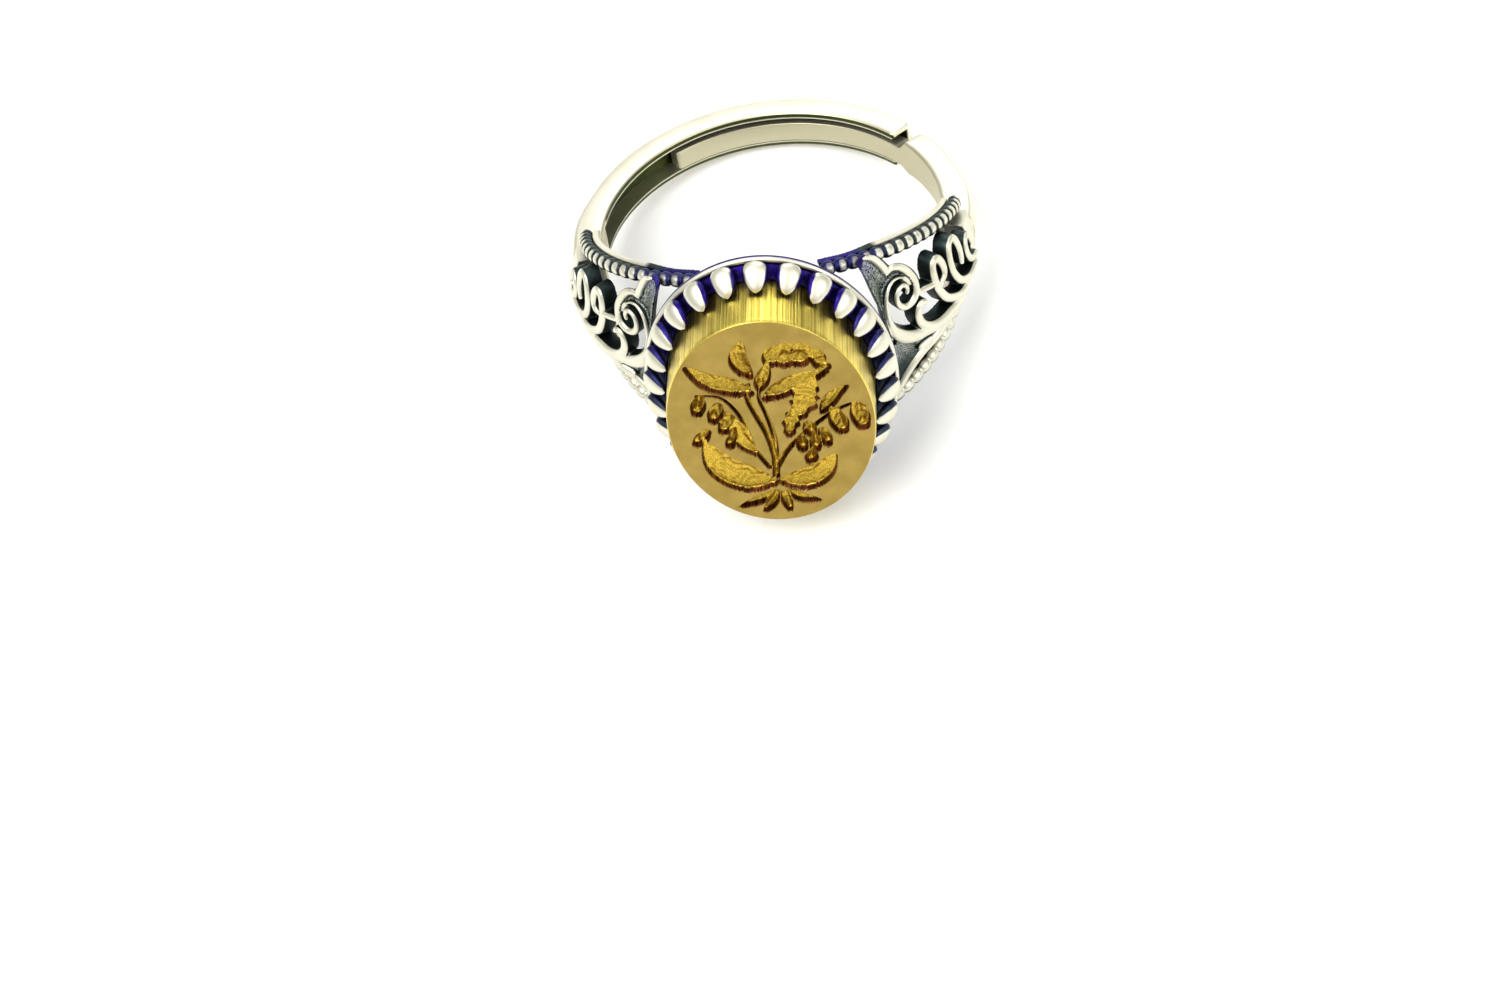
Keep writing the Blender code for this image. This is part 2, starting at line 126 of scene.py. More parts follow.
def mesh_piece(name, vertices, faces, material):
    """A smooth-shaded object in the frame, from vertices in the ring's own axes."""
    mesh = bpy.data.meshes.new(name)
    mesh.from_pydata([tuple(v) for v in vertices], [], faces)
    shape = bmesh.new()
    shape.from_mesh(mesh)
    bmesh.ops.recalc_face_normals(shape, faces=shape.faces)
    shape.to_mesh(mesh)
    shape.free()
    mesh.transform(RING)
    mesh.materials.append(material)
    mesh.shade_smooth()
    obj = bpy.data.objects.new(name, mesh)
    bpy.context.scene.collection.objects.link(obj)
    return obj


def sharpen(obj, degrees):
    obj.data.set_sharp_from_angle(angle=math.radians(degrees))


def mark(obj, **masks):
    """Stores one value per vertex under each name, for the materials to read."""
    for name, values in masks.items():
        layer = obj.data.attributes.new(name, "FLOAT", "POINT")
        layer.data.foreach_set("value", np.asarray(values, np.float32))


def ring_points(obj):
    """The object's vertices and normals in the ring's own axes."""
    count = len(obj.data.vertices)
    points = np.empty(count * 3)
    obj.data.vertices.foreach_get("co", points)
    normals = np.empty(count * 3)
    obj.data.vertex_normals.foreach_get("vector", normals)
    points = np.c_[points.reshape(-1, 3), np.ones(count)] @ np.array(INTO_RING).T
    turn = np.array(RING.to_3x3().normalized())
    return points[:, :3], normals.reshape(-1, 3) @ turn


def unroll(points):
    """u, z and radius of points in the ring's own axes, on whichever shoulder they are. It undoes rolled."""
    radius = np.hypot(points[:, 0], points[:, 1])
    angle = np.arctan2(np.abs(points[:, 0]), -points[:, 1])
    return (math.pi / 2 - angle) * UNROLL_RADIUS, points[:, 2], radius


# ---------------------------------------------------------------- materials


def add(tree, kind, settings=None, **inputs):
    """A new node. An input is a value or another node's socket."""
    made = tree.nodes.new(kind)
    for key, value in (settings or {}).items():
        setattr(made, key, value)
    for key, value in inputs.items():
        socket = made.inputs[key.replace("_", " ")]
        if isinstance(value, bpy.types.NodeSocket):
            tree.links.new(value, socket)
        else:
            socket.default_value = value
    return made


def attribute(tree, name):
    return add(tree, "ShaderNodeAttribute", {"attribute_name": name}).outputs["Fac"]


def noise(tree, scale, detail=3.0, stretch=(1, 1, 1)):
    """Noise of the object's own place, with patches about 1/scale metres across."""
    place = add(tree, "ShaderNodeTexCoord").outputs["Object"]
    shrunk = add(tree, "ShaderNodeMapping", Vector=place, Scale=stretch).outputs["Vector"]
    return add(tree, "ShaderNodeTexNoise", Vector=shrunk, Scale=scale, Detail=detail).outputs["Fac"]


def mixed(tree, share, a, b):
    """A colour between a and b."""
    made = add(tree, "ShaderNodeMix", {"data_type": "RGBA"})
    for socket, value in zip((made.inputs[0], made.inputs[6], made.inputs[7]), (share, a, b)):
        if isinstance(value, bpy.types.NodeSocket):
            tree.links.new(value, socket)
        else:
            socket.default_value = (*value, 1) if isinstance(value, tuple) else value
    return made.outputs[2]


def spread(tree, value, low, high, to_low=0.0, to_high=1.0):
    """value taken from low..high to another range, and held there."""
    made = add(
        tree, "ShaderNodeMapRange", Value=value,
        From_Min=low, From_Max=high, To_Min=to_low, To_Max=to_high,
    )
    return made.outputs["Result"]


def maths(tree, operation, a, b):
    made = tree.nodes.new("ShaderNodeMath")
    made.operation = operation
    for socket, value in zip(made.inputs, (a, b)):
        if isinstance(value, bpy.types.NodeSocket):
            tree.links.new(value, socket)
        else:
            socket.default_value = value
    return made.outputs[0]


def start_metal(name):
    material = bpy.data.materials.new(name)
    material.use_nodes = True
    shader = material.node_tree.nodes["Principled BSDF"]
    shader.inputs["Metallic"].default_value = 1.0
    return material, material.node_tree, shader


def relief(tree, shader, height, depth):
    bump = add(tree, "ShaderNodeBump", Height=height, Strength=1.0, Distance=depth)
    tree.links.new(bump.outputs["Normal"], shader.inputs["Normal"])


CREAM = (0.74, 0.72, 0.59)
PALE_CREAM = (0.82, 0.79, 0.64)
WARM_SHADE = (0.50, 0.46, 0.29)
GREEN_PATINA = (0.026, 0.040, 0.038)
OLIVE_PATINA = (0.055, 0.070, 0.018)
VIOLET_PATINA = (0.016, 0.006, 0.15)
WORN_PATINA = (0.16, 0.17, 0.16)
DUSTY_PATINA = (0.13, 0.14, 0.14)
STIPPLE_GREY = (0.42, 0.45, 0.40)
PATINA_ROUGHNESS = 0.45
POLISHED_ROUGHNESS = 0.41


def silver(name, grain_depth=0.004, polish_wear=0.25, patina_colour=GREEN_PATINA, bright_colour=CREAM):
    """Silver, polished where its polish mask is 1 and dark with patina where it is 0. On the side grains, the
    milgrain and the channel's lip faces that mask also places painted highlight and painted shade. "violet"
    turns the patina to the violet round the bezel, "stipple" punches pale dots into it, and the beige mask
    turns the polished silver beige, in random patches of duller silver and as painted shade on the shank's
    faces turned to the finger. grain_depth is in millimetres."""
    material, tree, shader = start_metal(name)
    wear = maths(tree, "MULTIPLY", maths(tree, "SUBTRACT", noise(tree, 2500.0), 0.5), polish_wear)
    mask = spread(tree, maths(tree, "ADD", attribute(tree, "polish"), wear), 0.3, 0.7)
    dust = spread(tree, noise(tree, 3500.0), 0.45, 0.75, 0.0, 0.2)
    dots = spread(tree, noise(tree, 11000.0), 0.42, 0.6)
    patina = mixed(tree, attribute(tree, "violet"), patina_colour, VIOLET_PATINA)
    patina = mixed(tree, dust, patina, DUSTY_PATINA)
    patina = mixed(tree, maths(tree, "MULTIPLY", dots, attribute(tree, "stipple")), patina, STIPPLE_GREY)
    # Random patches of wear and the painted shade on faces turned to the finger both turn the polished silver
    # towards WARM_SHADE.
    wear_and_highlight = spread(tree, noise(tree, 420.0, 2.0), 0.4, 0.7, 0.0, 0.25)
    warm = maths(tree, "MAXIMUM", wear_and_highlight, attribute(tree, "warm"))
    polished = mixed(tree, warm, bright_colour, WARM_SHADE)
    roughness = spread(tree, mask, 0, 1, PATINA_ROUGHNESS, POLISHED_ROUGHNESS)
    tree.links.new(mixed(tree, mask, patina, polished), shader.inputs["Base Color"])
    tree.links.new(roughness, shader.inputs["Roughness"])
    relief(tree, shader, noise(tree, 12000.0), grain_depth * MM)
    return material


BRASS_FACE = (0.36, 0.25, 0.058), (0.44, 0.31, 0.078)
BRASS_CUT = (0.42, 0.25, 0.022), (0.80, 0.56, 0.075)
BRASS_WALL = (0.035, 0.012, 0.006), (0.17, 0.06, 0.03)
BRASS_SIDE = (0.40, 0.28, 0.03), (0.92, 0.76, 0.16)
FACE_ROUGHNESS = 0.55
CUT_SMOOTHER = 0.2
SIDE_SMOOTHER = 0.25


def brass_material():
    """Sand-blasted brass. "carved" brightens the cutter's floors, "wall" darkens the steep sides of the
    carving, "side" is the plate's lined side wall, and "streak" is the tone of each machined line."""
    material, tree, shader = start_metal("brass")
    carved, wall, side = (attribute(tree, key) for key in ("carved", "wall", "side"))
    face = mixed(tree, spread(tree, noise(tree, 900.0), 0.35, 0.65), *BRASS_FACE)
    floor = mixed(tree, spread(tree, noise(tree, 16000.0), 0.35, 0.65), *BRASS_CUT)
    striped = spread(tree, noise(tree, 7000.0, 1.0, (1, 0.1, 0.1)), 0.4, 0.6)
    colour = mixed(tree, carved, face, floor)
    colour = mixed(tree, wall, colour, mixed(tree, striped, *BRASS_WALL))
    colour = mixed(tree, side, colour, mixed(tree, attribute(tree, "streak"), *BRASS_SIDE))
    rough = maths(tree, "SUBTRACT", FACE_ROUGHNESS, maths(tree, "MULTIPLY", carved, CUT_SMOOTHER))
    rough = maths(tree, "SUBTRACT", rough, maths(tree, "MULTIPLY", side, SIDE_SMOOTHER))
    tree.links.new(colour, shader.inputs["Base Color"])
    tree.links.new(rough, shader.inputs["Roughness"])
    relief(tree, shader, noise(tree, 14000.0), 0.014 * MM)
    return material


# ---------------------------------------------------------------- seal plate

CARVING_DEPTH = 0.6
WALL_WIDTH = 0.08
VEIN_HEIGHT = 0.06
VEIN_WIDTH = 0.05
FACE_COLUMNS = 270
FACE_ROWS = 350
EDGE_BEVEL = 0.07
GROOVE_DEPTH = 0.02
SIDE_INSET = 0.01


def leaf_width(s):
    return np.sin(math.pi * np.clip(0.04 + 0.92 * s, 0, 1) ** 0.85) ** 0.6


def stem_width(s):
    return 1 - 0.4 * s


def bell_width(s):
    return 0.45 + 0.55 * np.sin(math.pi * np.clip(0.1 + 0.72 * s, 0, 1))


def ragged_width(s):
    return leaf_width(s) * (1 + 0.15 * np.sin(s * 24))


# Each carved shape: its width along the spine, half-width, depth share, and spine in (x, z) on the face
CARVING = [
    (stem_width, 0.2, 0.7,
     [(-0.2, -3.6), (-0.12, -2.2), (-0.3, -0.8), (-0.65, 0.4), (-0.95, 1.6), (-0.8, 2.6)]),
    (stem_width, 0.15, 0.6, [(-0.05, -2.6), (0.02, -1.0), (-0.2, 0.6), (-0.4, 1.6), (-0.25, 2.4)]),
    (stem_width, 0.17, 0.7,
     [(-0.1, -3.0), (0.5, -2.0), (1.2, -1.2), (2.2, -0.3), (3.2, 0.42), (4.1, 0.78), (4.6, 0.55)]),
    (stem_width, 0.15, 0.6,
     [(-0.45, -3.0), (-1.05, -1.6), (-1.3, -0.1), (-1.65, 1.0), (-2.3, 1.9), (-3.4, 2.15)]),
    (leaf_width, 0.64, 1.0, [(-0.8, 2.0), (-1.75, 2.5), (-2.7, 2.95), (-3.65, 3.95)]),
    (leaf_width, 0.5, 1.0, [(-0.65, 3.05), (-1.0, 3.8), (-1.05, 4.5), (-0.8, 5.3)]),
    (leaf_width, 0.4, 0.85, [(-0.3, 2.15), (-0.05, 2.9), (0.3, 3.75)]),
    (leaf_width, 0.6, 1.0, [(-0.05, 1.55), (0.85, 2.1), (1.8, 2.55), (3.05, 3.0)]),
    (ragged_width, 0.66, 0.85, [(1.2, 0.1), (1.7, 1.0), (1.95, 1.7), (2.4, 2.45)]),
    (ragged_width, 0.42, 0.8, [(0.75, -1.0), (0.95, -0.2), (1.25, 0.5), (1.6, 1.1)]),
    (leaf_width, 0.4, 0.9, [(2.55, 0.35), (2.95, 1.0), (3.3, 1.45), (3.95, 1.95)]),
    (leaf_width, 0.46, 0.75, [(-1.05, -2.0), (-1.55, -1.1), (-1.8, -0.1), (-2.1, 0.9)]),
    (leaf_width, 0.95, 0.9, [(-0.5, -4.0), (-1.7, -3.6), (-2.75, -2.7), (-3.35, -1.2)]),
    (leaf_width, 0.78, 0.95, [(0.1, -4.0), (1.1, -4.0), (2.0, -3.6), (2.75, -2.6)]),
    (leaf_width, 0.34, 0.9, [(-0.3, -4.6), (-1.2, -5.1), (-2.3, -5.5)]),
    (leaf_width, 0.34, 0.9, [(0.2, -4.7), (0.9, -5.2), (1.8, -5.5)]),
    (leaf_width, 0.3, 0.85, [(-0.25, -4.7), (-0.65, -5.4), (-1.1, -6.0)]),
    (leaf_width, 0.3, 0.85, [(-0.05, -4.7), (0.1, -5.4), (0.2, -6.1)]),
]
# Bells of the two sprays: stalk and mouth in (x, z), and half-width
BELLS = [
    (-3.25, 1.95, -3.5, 1.0, 0.4), (-2.45, 1.35, -2.75, 0.45, 0.42), (-1.95, 0.5, -2.35, -0.3, 0.42),
    (-1.9, -0.6, -2.2, -1.35, 0.32), (-3.2, -0.3, -3.75, -1.0, 0.38), (3.15, 0.3, 3.35, -0.85, 0.5),
    (4.25, 0.6, 4.4, -0.7, 0.5), (1.75, -0.3, 1.85, -1.0, 0.36), (2.4, -0.8, 2.55, -1.7, 0.36),
    (1.35, -1.2, 1.3, -1.95, 0.34), (1.95, -1.3, 1.95, -2.0, 0.34), (1.75, -2.2, 1.6, -2.8, 0.36),
]
# Petals of the rose: place in (x, z), lean in degrees, and half-sizes across and along
PETALS = [
    (0.62, 4.2, 20, 0.55, 0.72), (1.3, 4.6, 8, 0.5, 0.5), (2.0, 4.5, -12, 0.5, 0.5),
    (2.62, 4.0, -40, 0.5, 0.6), (2.88, 3.4, -70, 0.34, 0.5), (1.1, 3.9, 12, 0.55, 0.5),
    (1.85, 3.85, -12, 0.55, 0.48),
]


def near(x, z, knots):
    """For each point of the face: its distance from a curve, and how far along the curve that is."""
    path = np.array([tuple(p) for p in smooth_path(knots, 8)])
    best = np.full(x.shape, 1e9)
    share = np.zeros(x.shape)
    for i, ((ax, az), (bx, bz)) in enumerate(zip(path, path[1:])):
        dx, dz = bx - ax, bz - az
        t = np.clip(((x - ax) * dx + (z - az) * dz) / (dx * dx + dz * dz), 0, 1)
        away = np.hypot(x - ax - t * dx, z - az - t * dz)
        closer = away < best
        best[closer] = away[closer]
        share[closer] = (i + t[closer]) / (len(path) - 1)
    return best, share


def carving(x, z):
    """How deep the plate is cut at each point of its face."""
    depth = np.zeros(x.shape)

    def sink(inside, half_width, deepest):
        floor = 0.72 + 0.28 * ramp(inside, 0, half_width)
        np.maximum(depth, CARVING_DEPTH * deepest * ramp(inside, 0, WALL_WIDTH) * floor, out=depth)

    for width, half_width, deepest, knots in CARVING:
        away, share = near(x, z, knots)
        vein = VEIN_HEIGHT * np.exp(-((away / VEIN_WIDTH) ** 2)) if width is not stem_width else 0
        sink(half_width * width(share) - away - vein, half_width, deepest)
    for ax, az, bx, bz, half_width in BELLS:
        away, share = near(x, z, [(ax, az), ((ax + bx) / 2, (az + bz) / 2), (bx, bz)])
        sink(half_width * bell_width(share) - away, half_width, 1.0)
    for px, pz, degrees, across, along in PETALS:
        turn = math.radians(degrees)
        side = (x - px) * math.cos(turn) - (z - pz) * math.sin(turn)
        up = (z - pz) * math.cos(turn) + (x - px) * math.sin(turn)
        sink((1 - np.hypot(side / across, up / along)) * across, across, 1.0)
    ripple = np.sin(9 * x + 2 * np.sin(4 * z)) * np.sin(8 * z + 2 * np.sin(5 * x))
    return depth * (1 + 0.05 * ripple)


def plate_face():
    """The face, a square grid pressed into an oval and carved: its points, quads, border and depth."""
    a, b = np.meshgrid(np.linspace(-1, 1, FACE_COLUMNS), np.linspace(-1, 1, FACE_ROWS))
    x = (HALF_WIDTH - EDGE_BEVEL) * a * np.sqrt(1 - b * b / 2)
    z = (HALF_LENGTH - EDGE_BEVEL) * b * np.sqrt(1 - a * a / 2)
    depth = carving(x, z)
    points = np.c_[x.ravel(), depth.ravel() - FACE_HEIGHT, z.ravel()]
    index = np.arange(depth.size).reshape(depth.shape)
    quads = np.stack([index[:-1, :-1], index[:-1, 1:], index[1:, 1:], index[1:, :-1]], -1)
    border = [*index[0, :-1], *index[:-1, -1], *index[-1, :0:-1], *index[:0:-1, 0]]
    return points, quads.reshape(-1, 4).tolist(), border, depth


def plate_levels():
    """The side wall's levels: inset, distance below the face, and share of the groove depth."""
    levels = [(0.6 * EDGE_BEVEL, 0.03, 0.0), (0.0, 0.1, 0.35), (0.0, 0.35, 1.0)]
    levels += [(0.0, 0.35 + 0.5 * k, 1.0) for k in range(1, 7)]
    return [*levels, (0.0, FACE_HEIGHT - SEAT_HEIGHT, 1.0)]


def build_seal_plate(material):
    """The carved face, with its border run on down the side as a wall of machined lines."""
    points, faces, border, depth = plate_face()
    count = len(border)
    share_x = points[border, 0] / (HALF_WIDTH - EDGE_BEVEL)
    share_z = points[border, 2] / (HALF_LENGTH - EDGE_BEVEL)
    tone = np.random.default_rng(5).random(count)
    tone = 0.6 * tone + 0.4 * np.roll(tone, 1)
    streak = [np.zeros(len(points))]
    previous = border
    for inset, below, lined in plate_levels():
        out = GROOVE_DEPTH * (tone - 0.5) * lined - SIDE_INSET - inset
        ring = list(range(len(points), len(points) + count))
        level = np.full(count, below - FACE_HEIGHT)
        points = np.r_[points, np.c_[(HALF_WIDTH + out) * share_x, level, (HALF_LENGTH + out) * share_z]]
        for k in range(count):
            after = (k + 1) % count
            faces.append([previous[k], ring[k], ring[after], previous[after]])
        streak.append(tone if lined else np.full(count, 0.8))
        previous = ring
    faces.append(previous)
    slope_z, slope_x = np.gradient(depth)
    steep_x = slope_x * FACE_COLUMNS / (2 * HALF_WIDTH)
    steep_z = slope_z * FACE_ROWS / (2 * HALF_LENGTH)
    steep = np.hypot(steep_x, steep_z).ravel()
    rest = np.zeros(len(points) - depth.size)
    plate = mesh_piece("carved_seal_plate", points, faces, material)
    mark(
        plate,
        carved=np.r_[ramp(depth.ravel(), 0, 0.5 * CARVING_DEPTH), rest],
        wall=np.r_[ramp(steep, 1.4, 3.0), rest],
        side=np.r_[np.zeros(depth.size), rest + 1],
        streak=np.concatenate(streak),
    )
    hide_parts("seal_plate")
    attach(plate, "head")


# ---------------------------------------------------------------- bezel


def oval_band(name, profile, material, steps=220):
    """A closed band round the plate. profile is a loop of (offset, height) points."""
    points, faces = [], []
    for i in range(steps):
        turn = 2 * math.pi * i / steps
        for offset, height in profile:
            x, z = oval(offset, turn)
            points.append((x, -height, z))
    n = len(profile)
    for i in range(steps):
        for k in range(n):
            a, b = i * n, ((i + 1) % steps) * n
            faces.append((a + k, a + (k + 1) % n, b + (k + 1) % n, b + k))
    return mesh_piece(name, points, faces, material)


WIRE_SIDES = 12


def circle_profile(offset, height, radius):
    turns = [2 * math.pi * k / WIRE_SIDES for k in range(WIRE_SIDES)]
    return [(offset + radius * math.cos(t), height + radius * math.sin(t)) for t in turns]


def violet_share(z):
    """The patina round the bezel is violet at its upper end and slate at its lower end."""
    return 0.2 + 0.8 * float(ramp(z, -2, 6))


def build_rim(material):
    """The wire round the bezel, polished along its outer crest."""
    rim = oval_band("rim_bead", circle_profile(RIM_OFFSET, RIM_HEIGHT, RIM_RADIUS), material)
    turns = [2 * math.pi * k / WIRE_SIDES for k in range(WIRE_SIDES)]
    lit = np.array([math.cos(turn - math.radians(50)) for turn in turns])
    crest = np.tile(ramp(lit, 0.62, 0.92), len(rim.data.vertices) // WIRE_SIDES)
    mark(rim, polish=crest, violet=np.ones(len(crest)))
    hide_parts("rim_wire")
    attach(rim, "head")


def build_collar(material):
    """The sloping ring under the grains, with a raised lip against the plate."""
    outer = flange_high.x - HALF_WIDTH
    low, high = -flange_high.y, -flange_low.y
    profile = [
        (0.03, low), (0.03, high + 0.25), (0.12, high + 0.27), (0.3, high + 0.02),
        (outer - 0.05, high - 0.05), (outer + 0.02, high - 0.2), (outer + 0.02, low),
    ]
    collar = oval_band("bezel_collar", profile, material)
    spots, _ = ring_points(collar)
    mark(collar, violet=[violet_share(z) for z in spots[:, 2]])
    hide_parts("bezel_flange")
    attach(collar, "head")


def build_back(material):
    """The collet and floor behind the head keep their CAD shapes, with their edges rounded off by wear."""
    for name in ("bezel_floor", "head_collet"):
        node = frame["nodes"][name]
        node.data.materials.clear()
        node.data.materials.append(material)
        edges = node.modifiers.new("worn_edges", "BEVEL")
        edges.width = 0.12 * MM
        edges.segments = 3
        edges.limit_method = "ANGLE"


GRAIN_AROUND = 20
GRAIN_ALONG = 14
GRAIN_WIDER = 1.07
GRAIN_LONGER = 1.04
GRAIN_TAPER = 0.3
SIDE_HIGHLIGHT_LEAN = 0.45  # how far the polish of a side grain leans outward from its crest: polish on the crest, moved outward as a painted highlight on the outer flank and painted shade on the inner flank


def grain_axes(name):
    """A CAD grain's middle, centre, outward direction, own axes (across, along, crest) and half-sizes."""
    vertices = np.array([INTO_RING @ v.co for v in frame["nodes"][name].data.vertices])
    middle = vertices.mean(0)
    turn = math.atan2(middle[2] / HALF_LENGTH, middle[0] / HALF_WIDTH)
    outward = Vector((math.cos(turn) / HALF_WIDTH, 0, math.sin(turn) / HALF_LENGTH)).normalized()
    across = outward.cross(Vector((0, -1, 0)))
    _, directions = np.linalg.eigh(np.cov((vertices - middle).T))
    axis = Vector(directions[:, 2])
    axis = (axis - across * axis.dot(across)).normalized()
    if axis.y > 0:
        axis = -axis
    crest = across.cross(axis)
    if crest.dot(outward) < 0:
        crest = -crest
    reach = [(vertices - middle) @ np.array(direction) for direction in (across, axis, crest)]
    half = [(r.max() - r.min()) / 2 for r in reach]
    centre = Vector(middle) + axis * (reach[1].max() + reach[1].min()) / 2
    return middle, centre, outward, (across, axis, crest), half


def build_grains(material):
    """Teardrops on the flange, in the places of the CAD grains, polished along their crests. On the grains at the
    sides the polish leans outward and narrows: a painted highlight on their outer flanks and painted shade on
    their inner flanks.
    """
    points, faces, polish, violet = [], [], [], []
    for name in grain_nodes:
        middle, centre, outward, (across, axis, crest), half = grain_axes(name)
        sideways = abs(outward.x)
        # Side grains: the polish leans outward and narrows, a painted highlight on the outer flank and painted
        # shade on the inner flank.
        polished_way = (crest + SIDE_HIGHLIGHT_LEAN * sideways * outward).normalized()
        polish_edge = 0.5 + 0.14 * sideways
        first = len(points)
        for j in range(GRAIN_ALONG + 1):
            t = -1 + 2 * j / GRAIN_ALONG
            girth = math.sqrt(max(0.0, 1 - t * t)) * (0.97 - GRAIN_TAPER * t)
            for i in range(GRAIN_AROUND):
                angle = 2 * math.pi * i / GRAIN_AROUND
                side = across * girth * math.sin(angle) * half[0] * GRAIN_WIDER
                out = crest * girth * math.cos(angle) * half[2]
                points.append(centre + side + axis * t * half[1] * GRAIN_LONGER + out)
                facing = across * math.sin(angle) + crest * math.cos(angle)
                wear_and_highlight = facing.dot(polished_way) + 0.25 * t * t
                polish.append(float(ramp(wear_and_highlight, polish_edge, polish_edge + 0.2)))
                violet.append(violet_share(middle[2]))
        for j in range(GRAIN_ALONG):
            for i in range(GRAIN_AROUND):
                a = first + j * GRAIN_AROUND + i
                b = first + j * GRAIN_AROUND + (i + 1) % GRAIN_AROUND
                faces.append((a, b, b + GRAIN_AROUND, a + GRAIN_AROUND))
    grains = mesh_piece("bezel_grains", points, faces, material)
    mark(grains, polish=polish, violet=violet)
    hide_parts(*grain_nodes)
    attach(grains, "head")


# ---------------------------------------------------------------- shoulders

# The part's own sizes for the shoulders. The edges lie EDGE_START from the middle at u = 0 and widen with u.
FINGER_RADIUS = 8.7
EDGE_START = 1.35
EDGE_RISE = 0.52
EDGE_BEND = 0.0165
EDGE_END = 11.75
SCROLL_CROWN = 10.75
SCROLL_DOME = 0.5
HEAD_RISE = 0.6
HEAD_RISE_START = 8.8
HEAD_RISE_END = 10.4

# Sizes of the cast skin drawn over them
CASTING_BACK = FINGER_RADIUS + 0.2
STRAND_TIP = 0.62  # share of a strand's width left at its ends
STRAND_ROUNDING = 0.22
STRAND_FOOT = 1.2  # width of a strand's foot, as a share of its top
STRAND_STEPS = 8
LEAF_STEPS = 8
RAIL_START = 0.16
RAIL_OUTER = 9.05
BLOCK_OUTER = 10.28
VOXEL = 0.06

# Strands of the openwork on both shoulders: depth of the strand, how far its foot leans back under it per
# millimetre of depth, and its knots as (u, z, half-width, drop below the crown)
STRANDS = [
    (0.45, 1.0, [(10.0, 5.7, 0.1, 0.15), (9.72, 5.6, 0.15, 0), (9.36, 5.2, 0.18, 0), (9.05, 4.66, 0.19, 0),
                 (8.9, 4.3, 0.2, 0), (8.84, 4.0, 0.2, 0)]),
    (0.45, 1.0, [(8.95, 3.95, 0.14, 0), (8.54, 4.08, 0.19, 0), (8.12, 3.88, 0.2, 0), (7.74, 3.42, 0.2, 0),
                 (7.47, 2.8, 0.2, 0), (7.42, 2.3, 0.2, 0)]),
    (0.8, 0.0, [(7.48, 2.8, 0.18, 0), (7.42, 2.3, 0.2, 0), (7.56, 1.8, 0.22, 0), (7.94, 1.52, 0.22, 0),
                (8.35, 1.6, 0.19, 0), (8.6, 2.0, 0.15, 0), (8.6, 2.46, 0.13, 0), (8.4, 2.76, 0.12, 0),
                (8.12, 2.82, 0.12, 0), (7.96, 2.55, 0.12, 0), (8.06, 2.24, 0.12, 0)]),
    (0.7, 0.0, [(7.72, 2.5, 0.05, 0.15), (7.88, 2.98, 0.06, 0.15), (8.22, 3.26, 0.07, 0.15),
                (8.58, 3.26, 0.08, 0.15), (8.9, 3.06, 0.09, 0.1), (9.14, 2.64, 0.1, 0.1),
                (9.24, 2.12, 0.12, 0.1), (9.26, 1.6, 0.14, 0.05), (9.2, 1.1, 0.18, 0), (8.96, 0.4, 0.28, 0),
                (8.48, -0.25, 0.36, 0), (7.82, -0.65, 0.36, 0), (7.2, -0.8, 0.33, 0), (6.3, -1.1, 0.3, 0),
                (5.2, -1.2, 0.28, 0), (4.0, -1.0, 0.25, 0)]),
    (0.95, 0.0, [(7.05, 0.95, 0.14, 0), (7.3, 1.15, 0.18, 0), (7.54, 0.96, 0.2, 0), (7.62, 0.5, 0.22, 0),
                 (7.46, -0.12, 0.23, 0), (7.0, -0.65, 0.24, 0), (6.3, -0.93, 0.24, 0), (5.5, -0.95, 0.24, 0),
                 (4.8, -1.0, 0.24, 0), (4.0, -0.85, 0.24, 0)]),
    (0.8, 0.0, [(7.4, 1.85, 0.14, 0), (7.0, 1.75, 0.18, 0), (6.6, 1.62, 0.17, 0), (6.3, 1.55, 0.14, 0)]),
    (0.95, 0.0, [(5.92, 1.34, 0.14, 0), (5.62, 1.42, 0.18, 0), (5.48, 1.75, 0.2, 0), (5.52, 2.2, 0.22, 0),
                 (5.72, 2.58, 0.23, 0), (6.0, 2.7, 0.23, 0), (6.2, 2.36, 0.22, 0), (6.23, 1.75, 0.22, 0),
                 (6.12, 1.05, 0.23, 0), (5.7, 0.15, 0.23, 0), (5.1, -0.4, 0.23, 0), (4.4, -0.75, 0.23, 0),
                 (3.6, -0.75, 0.23, 0)]),
    (0.95, 0.0, [(4.1, 0.9, 0.16, 0), (3.98, 1.3, 0.2, 0), (3.93, 1.8, 0.2, 0), (4.0, 2.3, 0.21, 0),
                 (4.25, 2.62, 0.21, 0), (4.6, 2.6, 0.21, 0), (4.82, 2.25, 0.21, 0), (4.9, 1.64, 0.21, 0),
                 (4.82, 0.95, 0.21, 0), (4.45, 0.2, 0.21, 0), (3.9, -0.3, 0.21, 0), (3.2, -0.55, 0.21, 0),
                 (2.4, -0.4, 0.2, 0)]),
    (0.9, 0.0, [(2.9, 0.75, 0.14, 0), (2.62, 0.9, 0.18, 0), (2.7, 1.4, 0.18, 0), (3.05, 1.7, 0.18, 0),
                (3.35, 1.35, 0.18, 0), (3.3, 0.7, 0.18, 0), (2.9, 0.15, 0.18, 0), (2.2, 0.0, 0.18, 0)]),
    (0.7, 0.0, [(6.9, -1.45, 0.14, 0.1), (7.1, -1.65, 0.24, 0.1), (7.45, -1.75, 0.24, 0.15),
                (7.75, -1.8, 0.12, 0.2)]),
]
# The broad strand along the lower edge, as knots like those above
EDGE_STRAND = [
    (2.3, -0.7, 0.24, 0.2), (3.5, -1.15, 0.3, 0.25), (5.0, -1.75, 0.36, 0.3), (6.0, -2.15, 0.34, 0.35),
    (6.7, -2.36, 0.3, 0.4), (7.24, -2.5, 0.27, 0.4), (7.8, -2.82, 0.25, 0.4), (8.36, -3.36, 0.24, 0.4),
    (8.78, -3.95, 0.23, 0.4), (9.2, -4.5, 0.2, 0.45),
]
